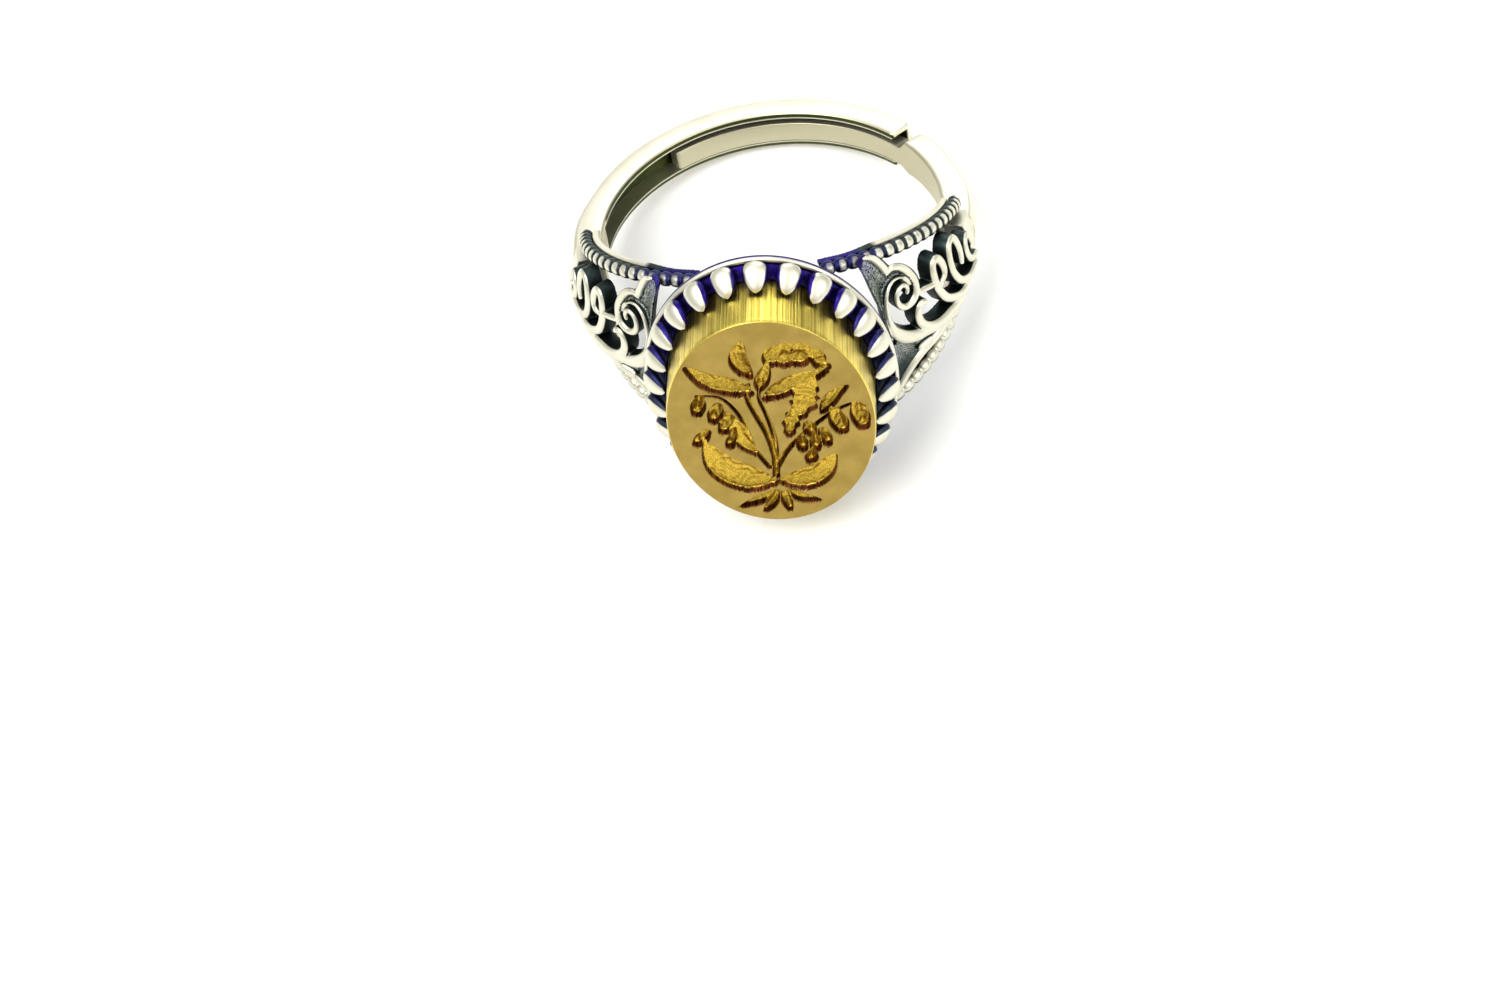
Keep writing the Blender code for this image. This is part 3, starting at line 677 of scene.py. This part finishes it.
# Hollowed leaves between strands: sag, thickness, then two edges as (u, z, drop below the crown)
LEAVES = [
    (0.1, 0.45,
     [(7.5, 2.2, 0.15), (7.55, 2.8, 0.15), (7.8, 3.35, 0.15), (8.2, 3.8, 0.15), (8.9, 3.95, 0.15)],
     [(7.7, 2.3, 0.5), (7.8, 2.75, 0.5), (8.05, 3.15, 0.45), (8.5, 3.25, 0.45), (8.95, 3.05, 0.45)]),
    (0.22, 0.5,
     [(9.2, -0.6, 0.2), (9.28, 0.6, 0.3), (9.3, 1.6, 0.35), (9.2, 2.6, 0.4), (8.95, 3.15, 0.45),
      (8.9, 4.0, 0.3), (9.1, 4.6, 0.2), (9.6, 5.4, 0.2)],
     [(9.3, -0.6, 0.1), (9.35, 0.5, 0.0), (9.54, 1.3, 0.0), (9.6, 2.2, 0.0), (9.8, 3.1, 0.0),
      (9.95, 3.9, 0.05), (10.05, 4.6, 0.15), (10.2, 5.2, 0.2)]),
    (0.2, 0.4,
     [(6.9, -1.2, 0.3), (7.6, -1.0, 0.35), (8.4, -0.7, 0.35), (9.3, -0.4, 0.3)],
     [(7.0, -2.4, 0.5), (7.8, -2.8, 0.55), (8.4, -3.4, 0.6), (9.4, -4.5, 0.6)]),
    (0.0, 0.3,
     [(2.6, -0.9, 0.6), (4.4, -1.5, 0.6), (6.1, -2.1, 0.7), (7.8, -3.0, 0.8), (9.5, -4.6, 0.9)],
     [(2.6, -2.5, 1.3), (4.4, -3.2, 1.35), (6.1, -3.8, 1.4), (7.8, -4.3, 1.4), (9.5, -4.75, 1.5)]),
]


def edge_z(u):
    """How far a shoulder's edge lies from its middle."""
    return EDGE_START + EDGE_RISE * u - EDGE_BEND * u**2


def rolled(u, z, radius, side):
    """The place on a shoulder at u and z, that far from the finger's axis."""
    angle = math.pi / 2 - u / UNROLL_RADIUS
    return Vector((side * radius * math.sin(angle), -radius * math.cos(angle), z))


def crown(u, z):
    """The radius of the openwork's outer side."""
    climb = HEAD_RISE * ramp(u, HEAD_RISE_START, HEAD_RISE_END)
    return SCROLL_CROWN - SCROLL_DOME * (z / edge_z(u)) ** 2 + climb


def sweep(rings, points, faces):
    """Joins rings of points into a closed tube with flat ends, added to points and faces."""
    first = len(points)
    n = len(rings[0])
    for ring in rings:
        points += ring
    for i in range(len(rings) - 1):
        for k in range(n):
            a, b = first + i * n, first + (i + 1) * n
            faces.append((a + k, a + (k + 1) % n, b + (k + 1) % n, b + k))
    faces.append(tuple(range(first + n - 1, first - 1, -1)))
    last = first + (len(rings) - 1) * n
    faces.append(tuple(range(last, last + n)))


def strand_rings(depth, lean, knots, side):
    """A standing band with a rounded top. Returns its rings, and its top line as (point, half-width)."""
    path = smooth_path(knots, 5)
    last = len(path) - 1
    rings, line = [], []
    for i, (u, z, half_width, drop) in enumerate(path):
        along = (path[min(i + 1, last)] - path[max(i - 1, 0)]).xy.normalized()
        from_end = min(1.0, min(i, last - i) / 2)
        width = half_width * (STRAND_TIP + (1 - STRAND_TIP) * math.sqrt(from_end))
        top = crown(u, z) - drop
        ring = []
        for step in range(STRAND_STEPS + 1):
            turn = math.pi * step / STRAND_STEPS
            a = -math.cos(turn) * width
            below = min(half_width, STRAND_ROUNDING) * (1 - math.sin(turn))
            ring.append(rolled(u - along.y * a, z + along.x * a, top - below, side))
        foot = max(top - depth, CASTING_BACK)
        back = lean * (top - foot)
        for a in (width * STRAND_FOOT, -width * STRAND_FOOT):
            ring.append(rolled(u - along.y * a - 0.7 * back, z + along.x * a - back, foot, side))
        rings.append(ring)
        line.append((rolled(u, z, top, side), width))
    return rings, line


def leaf_rings(sag, thickness, left, right, side):
    """The hollowed leaf between two edges, as a closed slab."""
    rings = []
    for a, b in zip(smooth_path(left, 5), smooth_path(right, 5)):
        rim = []
        for k in range(LEAF_STEPS + 1):
            t = k / LEAF_STEPS
            u, z, drop = a.lerp(b, t)
            rim.append((u, z, crown(u, z) - drop - sag * math.sin(math.pi * t)))
        ring = [rolled(u, z, top, side) for u, z, top in rim]
        ring += [rolled(u, z, max(top - thickness, CASTING_BACK), side) for u, z, top in reversed(rim)]
        rings.append(ring)
    return rings


def rail_rings(up, side):
    """The plain edge under the milgrain, thinner towards the head."""
    rings = []
    for u in np.linspace(RAIL_START, EDGE_END, 61):
        z = up * edge_z(u)
        half = 0.3 - 0.16 * ramp(u, 8.3, 10.3)
        corners = [(-half, FINGER_RADIUS), (half, FINGER_RADIUS), (half, RAIL_OUTER), (-half, RAIL_OUTER)]
        rings.append([rolled(u, z + dz, radius, side) for dz, radius in corners])
    return rings


def block_rings(side):
    """The solid end that meets the shank."""
    rings = []
    for u in np.linspace(0.05, 2.25, 13):
        half = 0.95 + 0.3 * u
        corners = [
            (-half, FINGER_RADIUS), (half, FINGER_RADIUS), (half, BLOCK_OUTER - 0.25),
            (half * 0.6, BLOCK_OUTER), (-half * 0.6, BLOCK_OUTER), (-half, BLOCK_OUTER - 0.25),
        ]
        rings.append([rolled(u, dz, radius, side) for dz, radius in corners])
    return rings


def remeshed(obj, voxel, rounds):
    """Fuses the object's overlapping closed shapes into one cast skin."""
    remesh = obj.modifiers.new("fuse", "REMESH")
    remesh.mode = "VOXEL"
    remesh.voxel_size = voxel
    soften = obj.modifiers.new("soften", "SMOOTH")
    soften.factor = 0.5
    soften.iterations = rounds
    bpy.context.view_layer.update()
    graph = bpy.context.evaluated_depsgraph_get()
    mesh = bpy.data.meshes.new_from_object(obj.evaluated_get(graph))
    obj.modifiers.clear()
    materials = list(obj.data.materials)
    obj.data = mesh
    mesh.materials.clear()
    for material in materials:
        mesh.materials.append(material)
    mesh.shade_smooth()


def from_lines(spots, lines):
    """How far each point is from the nearest strand's top line, less that strand's half-width."""
    tree = kdtree.KDTree(len(lines))
    for i, (point, _) in enumerate(lines):
        tree.insert(point, i)
    tree.balance()
    found = []
    for spot in spots:
        near_ones = tree.find_n(Vector(spot), 2)
        found.append(min(distance - lines[i][1] for _, i, distance in near_ones))
    return np.array(found)


def casting_shape(side):
    """All the overlapping closed shapes of one shoulder: points, faces, and the strands' top lines."""
    points, faces, lines = [], [], []
    for depth, lean, knots in [*STRANDS, (0.7, 0.0, EDGE_STRAND)]:
        rings, line = strand_rings(depth, lean, knots, side)
        sweep(rings, points, faces)
        lines += line
    for leaf in LEAVES:
        sweep(leaf_rings(*leaf, side), points, faces)
    for up in (1, -1):
        sweep(rail_rings(up, side), points, faces)
    sweep(block_rings(side), points, faces)
    return points, faces, lines


def mark_casting(casting, lines):
    """Polished along the strands, the rails, the root and the skirt under the edge strand, dark between."""
    spots, normals = ring_points(casting)
    u, z, radius = unroll(spots)
    out = (normals[:, 0] * spots[:, 0] + normals[:, 1] * spots[:, 1]) / radius
    away = from_lines(spots, lines)
    top = ramp(away, 0.1, 0) * ramp(out, -0.2, 0.2)
    rail = ramp(radius, RAIL_OUTER + 0.07, RAIL_OUTER + 0.02) * ramp(u, 9.2, 7.7)
    root = ramp(u, 2.5, 2.0)
    under = np.interp(u, [knot[0] for knot in EDGE_STRAND], [knot[1] for knot in EDGE_STRAND]) - z
    skirt = 0.8 * ramp(under, 0.5, 0.6) * ramp(radius, 9.3, 9.4)
    hollow = ramp(away, 0.08, 0.18) * ramp(out, 0.3, 0.6) * ramp(u, 7.0, 7.4)
    mark(
        casting,
        polish=np.maximum.reduce([top, rail, root, skirt]),
        violet=0.8 * ramp(u, 9.2, 9.8) * ramp(z, 4.0, 4.8),
        stipple=hollow * ramp(radius, 9.9, 10.1),
    )


def build_shoulders(material):
    kinds = ("big_scroll", "lower_scroll", "middle_scroll", "curl", "tip_curl", "upper_leaf", "lower_leaf",
             "lower_curl", "shoulder_block", "upper_rail", "lower_rail")
    for side_name, side in SIDES.items():
        points, faces, lines = casting_shape(side)
        casting = mesh_piece(f"{side_name}_openwork", points, faces, material)
        remeshed(casting, VOXEL * MM, 3)
        mark_casting(casting, lines)
        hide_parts(*(f"{side_name}_{kind}" for kind in kinds))
        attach(casting, "head")


BEAD_PITCH = 0.68
BEAD_RADIUS = 0.37
BEAD_NECK = 0.36
BEAD_SIDES = 14
RINGS_PER_BEAD = 9
WIRE_CENTRE = RAIL_OUTER + 0.36
BEAD_SHINE = math.radians(30)  # how far above straight outward the beads' polish is centred: polish on their crests, turned towards +Z as a painted highlight


def milgrain_rings(up, side):
    """Rings of a beaded wire along a shoulder's edge, and the polish of each of their points: polish on the bead
    crests, with a painted highlight on the side turned towards +Z.
    """
    fine = [rolled(u, up * edge_z(u), WIRE_CENTRE, side) for u in np.linspace(RAIL_START, EDGE_END, 400)]
    run = np.r_[0, np.cumsum([(b - a).length for a, b in zip(fine, fine[1:])])]
    line = np.array(fine)

    def place(s):
        return Vector([np.interp(s, run, line[:, k]) for k in range(3)])

    count = round(run[-1] / BEAD_PITCH) * RINGS_PER_BEAD
    rings, polish = [], []
    for i in range(count + 1):
        s = run[-1] * i / count
        centre = place(s)
        along = (place(s + 0.05) - place(s - 0.05)).normalized()
        radial = Vector((centre.x, centre.y, 0)).normalized()
        across = along.cross(radial).normalized()
        radial = across.cross(along)
        phase = 2 * ((i / RINGS_PER_BEAD) % 1) - 1
        girth = BEAD_RADIUS * (1 - BEAD_NECK * abs(phase) ** 3)
        top = ramp(abs(phase), 1.0 - 0.3 * up, 0.75 - 0.3 * up)
        ring = []
        for k in range(BEAD_SIDES):
            turn = 2 * math.pi * k / BEAD_SIDES
            facing = across * math.sin(turn) + radial * math.cos(turn)
            ring.append(centre + facing * girth)
            # Polish on the bead crests, leaning towards +Z as a painted highlight.
            lit = facing.dot(radial) * math.cos(BEAD_SHINE) + facing.z * math.sin(BEAD_SHINE)
            polish.append(float(top * ramp(lit, 0.45, 0.8)))
        rings.append(ring)
    return rings, polish


def build_milgrain(material):
    for side_name, side in SIDES.items():
        for edge_name, up in (("upper", 1), ("lower", -1)):
            rings, polish = milgrain_rings(up, side)
            points, faces = [], []
            sweep(rings, points, faces)
            wire = mesh_piece(f"{side_name}_{edge_name}_milgrain", points, faces, material)
            spots, _ = ring_points(wire)
            u, _, _ = unroll(spots)
            mark(
                wire,
                polish=np.array(polish) * (1 - 0.45 * ramp(u, 7.8, 9.6)),
                violet=0.55 * ramp(u, 7.2, 9.7),
            )
            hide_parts(f"{side_name}_{edge_name}_bead_wire")
            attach(wire, "head")


# ---------------------------------------------------------------- shank

_, channel_high = extent("channel_shank")
SHANK_HALF_WIDTH = channel_high.z
SHANK_OUTER = channel_high.y

# The part's own sizes for the shank. Angles run from its back, positive to the right.
LIP_WIDTH = 0.3
WEB_THICKNESS = 0.4
SLIDE_GAP = 0.06
NEST_GAP = 0.16
CHANNEL_TIP = math.radians(46)
TONGUE_TIP = math.radians(-36)
CHANNEL_START = math.radians(-82)
SWELL = 0.2
SWELL_STARTS = math.radians(66)
SWELL_ENDS = math.radians(86)
TONGUE_OUTER = SHANK_OUTER - WEB_THICKNESS - NEST_GAP
TONGUE_HALF = SHANK_HALF_WIDTH - LIP_WIDTH - SLIDE_GAP

# Sizes of the bands drawn over it
UPPER_GAP = 0.34  # the dark line between the tongue and the channel's upper lip
TIP_SPAN = math.radians(1.4)
TONGUE_GROWS = math.radians(48)
ROOT_ANGLE = math.radians(90) + 0.9 / UNROLL_RADIUS


def rounded(corners, radius, steps=4):
    """The loop of corners with each one rounded off."""
    found = []
    count = len(corners)
    for i, corner in enumerate(corners):
        here = Vector(corner)
        back = Vector(corners[i - 1]) - here
        on = Vector(corners[(i + 1) % count]) - here
        reach = min(radius, 0.45 * back.length, 0.45 * on.length)
        a = here + back.normalized() * reach
        b = here + on.normalized() * reach
        for k in range(steps + 1):
            t = k / steps
            found.append(a * (1 - t) ** 2 + here * 2 * t * (1 - t) + b * t * t)
    return found


def shank_sweep(name, angles, section, material):
    """A band round the finger. section gives the loop of (z, radius) at an angle from the back."""
    rings = []
    for angle in angles:
        rings.append([Vector((r * math.sin(angle), r * math.cos(angle), z)) for z, r in section(angle)])
    points, faces = [], []
    sweep(rings, points, faces)
    band = mesh_piece(name, points, faces, material)
    sharpen(band, 50)
    return band


def outer_radius(angle):
    return SHANK_OUTER + SWELL * float(ramp(abs(angle), SWELL_STARTS, SWELL_ENDS))


def tip_pull(angle, tip, radius):
    """How far a band's outline is drawn in near its rounded tip."""
    share = min(1.0, abs(angle - tip) / TIP_SPAN)
    return radius * (1 - math.sqrt(1 - (1 - share) ** 2))


def channel_section(angle):
    pull = tip_pull(angle, CHANNEL_TIP, 0.16)
    outer = outer_radius(angle) - pull
    inner = FINGER_RADIUS + pull
    opened = float(ramp(angle, CHANNEL_START, CHANNEL_START + math.radians(2)))
    groove = FINGER_RADIUS + max((SHANK_OUTER - WEB_THICKNESS - FINGER_RADIUS) * opened, 0.02)
    lip = SHANK_HALF_WIDTH - LIP_WIDTH
    half = SHANK_HALF_WIDTH - pull * 0.6
    outline = [(-half, inner), (-half, outer - 0.1), (0, outer + 0.06), (half, outer - 0.1), (half, inner)]
    hollow = [(lip, inner), (lip, groove), (-lip, groove), (-lip, inner)]
    return rounded(outline, 0.22) + rounded(hollow, 0.05, 2)


def tongue_section(angle):
    pull = tip_pull(angle, TONGUE_TIP, 0.14)
    grown = float(ramp(angle, TONGUE_GROWS, TONGUE_GROWS + math.radians(9)))
    widened = float(ramp(angle, TONGUE_GROWS, TONGUE_GROWS + math.radians(5)))
    outer = TONGUE_OUTER + (outer_radius(angle) - TONGUE_OUTER) * grown - pull
    inner = FINGER_RADIUS + pull
    low = TONGUE_HALF + (SHANK_HALF_WIDTH - TONGUE_HALF) * widened - pull * 0.6
    high = low - UPPER_GAP * (1 - widened)
    middle = outer + (0.02 + 0.04 * grown) * grown
    shoulder = outer - 0.1 * grown
    outline = [(-low, inner), (-low, shoulder), (0, middle), (high, shoulder), (high, inner)]
    return rounded(outline, 0.06 + 0.16 * grown)


def facing_finger(spots, normals):
    """How far each point of a band faces the finger, from -1 to 1."""
    return -(normals[:, 0] * spots[:, 0] + normals[:, 1] * spots[:, 1]) / np.hypot(spots[:, 0], spots[:, 1])


def build_channel(material):
    """The left half of the shank. The upper part of its hollow stays dark with patina, the lip faces turned to the
    finger are dark as painted shade, and all its faces turned to the finger take a darker beige as painted shade.
    """
    start = CHANNEL_TIP - TIP_SPAN
    angles = [*np.linspace(-ROOT_ANGLE, start, 170), *np.linspace(start, CHANNEL_TIP, 7)[1:]]
    channel = shank_sweep("channel_band", angles, channel_section, material)
    spots, normals = ring_points(channel)
    angle = np.arctan2(spots[:, 0], spots[:, 1])
    radius = np.hypot(spots[:, 0], spots[:, 1])
    across = np.abs(spots[:, 2])
    inward = facing_finger(spots, normals)
    groove_edge = SHANK_HALF_WIDTH - LIP_WIDTH
    groove_floor = SHANK_OUTER - WEB_THICKNESS
    lip_face_shade = ramp(inward, 0.3, 0.6) * ramp(across, SHANK_HALF_WIDTH - 0.07, SHANK_HALF_WIDTH - 0.13)
    lip_face_shade *= ramp(angle, CHANNEL_START, CHANNEL_START + 0.05)
    hollow = ramp(radius, FINGER_RADIUS + 0.04, FINGER_RADIUS + 0.08)
    hollow *= ramp(radius, groove_floor + 0.08, groove_floor + 0.04)
    hollow *= ramp(across, groove_edge + 0.04, groove_edge + 0.02) * ramp(spots[:, 2], -0.25, 0.15)
    # Painted shade: the lip faces turned to the finger are left dark, and the faces turned to the finger are
    # darkened to beige.
    mark(channel, polish=1 - np.maximum(lip_face_shade, hollow), warm=0.8 * ramp(inward, 0.2, 0.7))
    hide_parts("channel_shank")
    return channel


def build_tongue(material):
    """The right half of the shank, which nests in the channel and grows to full size past its tip."""
    end = TONGUE_TIP + TIP_SPAN
    angles = [*np.linspace(TONGUE_TIP, end, 7)[:-1], *np.linspace(end, ROOT_ANGLE, 150)]
    tongue = shank_sweep("tongue_band", angles, tongue_section, material)
    spots, normals = ring_points(tongue)
    inward = facing_finger(spots, normals)
    # Painted shade: the faces turned to the finger are darkened to beige.
    mark(tongue, polish=np.ones(len(spots)), warm=0.8 * ramp(inward, 0.2, 0.7))
    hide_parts("tongue_shank")
    return tongue


def build_shank(material):
    """Both bands, with their transforms baked into their meshes."""
    bands = (build_channel(material), "left_shank", -1), (build_tongue(material), "right_shank", 1)
    for band, body, side in bands:
        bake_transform(band)


# ---------------------------------------------------------------- studio


CAMERA_AZIMUTH = math.radians(-9.6)
CAMERA_ELEVATION = math.radians(57.63)
CAMERA_ROLL = math.radians(13.43)
CAMERA_DISTANCE = 220 * MM


def build_camera():
    """The photograph's view, as turns about the ring's centre."""
    azimuth, elevation, roll = CAMERA_AZIMUTH, CAMERA_ELEVATION, CAMERA_ROLL
    level = Vector((math.sin(azimuth), math.cos(azimuth), 0))
    forward = level * math.cos(elevation) - Vector((0, 0, math.sin(elevation)))
    right = Vector((math.cos(azimuth), -math.sin(azimuth), 0))
    up = right.cross(forward)
    x_axis = math.cos(roll) * right - math.sin(roll) * up
    y_axis = math.sin(roll) * right + math.cos(roll) * up
    data = bpy.data.cameras.new("camera")
    data.sensor_width = 36
    data.lens = 103.74
    data.shift_x = -0.0172
    data.shift_y = -0.1734
    data.clip_start = 5 * MM
    camera = bpy.data.objects.new("camera", data)
    bpy.context.scene.collection.objects.link(camera)
    placed = Matrix((x_axis, y_axis, -forward)).transposed().to_4x4()
    placed.translation = RING.translation - forward * CAMERA_DISTANCE
    camera.matrix_world = placed
    bpy.context.scene.camera = camera


def area_light(name, place, size, power):
    """A round light aimed at the ring's centre."""
    data = bpy.data.lights.new(name, "AREA")
    data.shape = "DISK"
    data.size = size
    data.energy = power
    lamp = bpy.data.objects.new(name, data)
    bpy.context.scene.collection.objects.link(lamp)
    lamp.location = place
    lamp.rotation_euler = (RING.translation - Vector(place)).to_track_quat("-Z", "Y").to_euler()


def build_floor(reach=1.5):
    mesh = bpy.data.meshes.new("floor")
    corners = [(-reach, -reach, 0), (reach, -reach, 0), (reach, reach, 0), (-reach, reach, 0)]
    mesh.from_pydata(corners, [], [(0, 1, 2, 3)])
    floor = bpy.data.objects.new("floor", mesh)
    bpy.context.scene.collection.objects.link(floor)
    paper = bpy.data.materials.new("paper")
    paper.use_nodes = True
    shader = paper.node_tree.nodes["Principled BSDF"]
    shader.inputs["Base Color"].default_value = (0.9, 0.9, 0.89, 1)
    shader.inputs["Roughness"].default_value = 0.9
    mesh.materials.append(paper)


def build_world():
    """A white studio, dimmer near the floor than overhead."""
    world = bpy.data.worlds.new("studio")
    bpy.context.scene.world = world
    world.use_nodes = True
    tree = world.node_tree
    background = tree.nodes["Background"]
    direction = add(tree, "ShaderNodeTexCoord").outputs["Generated"]
    up = add(tree, "ShaderNodeSeparateXYZ", Vector=direction).outputs["Z"]
    tree.links.new(spread(tree, up, -0.1, 0.9, 0.3, 1.0), background.inputs["Strength"])
    background.inputs["Color"].default_value = (1.0, 1.0, 1.0, 1)


def build_studio():
    build_floor()
    build_world()
    bpy.context.scene.view_settings.view_transform = "Standard"
    area_light("key", (-0.12, -0.10, 0.30), 0.22, 0.75)
    area_light("fill", (0.22, -0.12, 0.18), 0.18, 0.3)
    area_light("back", (0.05, 0.28, 0.20), 0.22, 0.35)


aged = silver("aged_silver")
build_seal_plate(brass_material())
build_rim(silver("bright_silver", grain_depth=0.0015, polish_wear=0.15))
build_collar(aged)
build_grains(silver("grain_silver", grain_depth=0.002, polish_wear=0.5))
build_back(silver("worn_silver", grain_depth=0.02, patina_colour=WORN_PATINA))
build_shoulders(aged)
build_milgrain(aged)
build_shank(silver("shank_silver", 0.0015, 0.15, OLIVE_PATINA, PALE_CREAM))
build_studio()
build_camera()
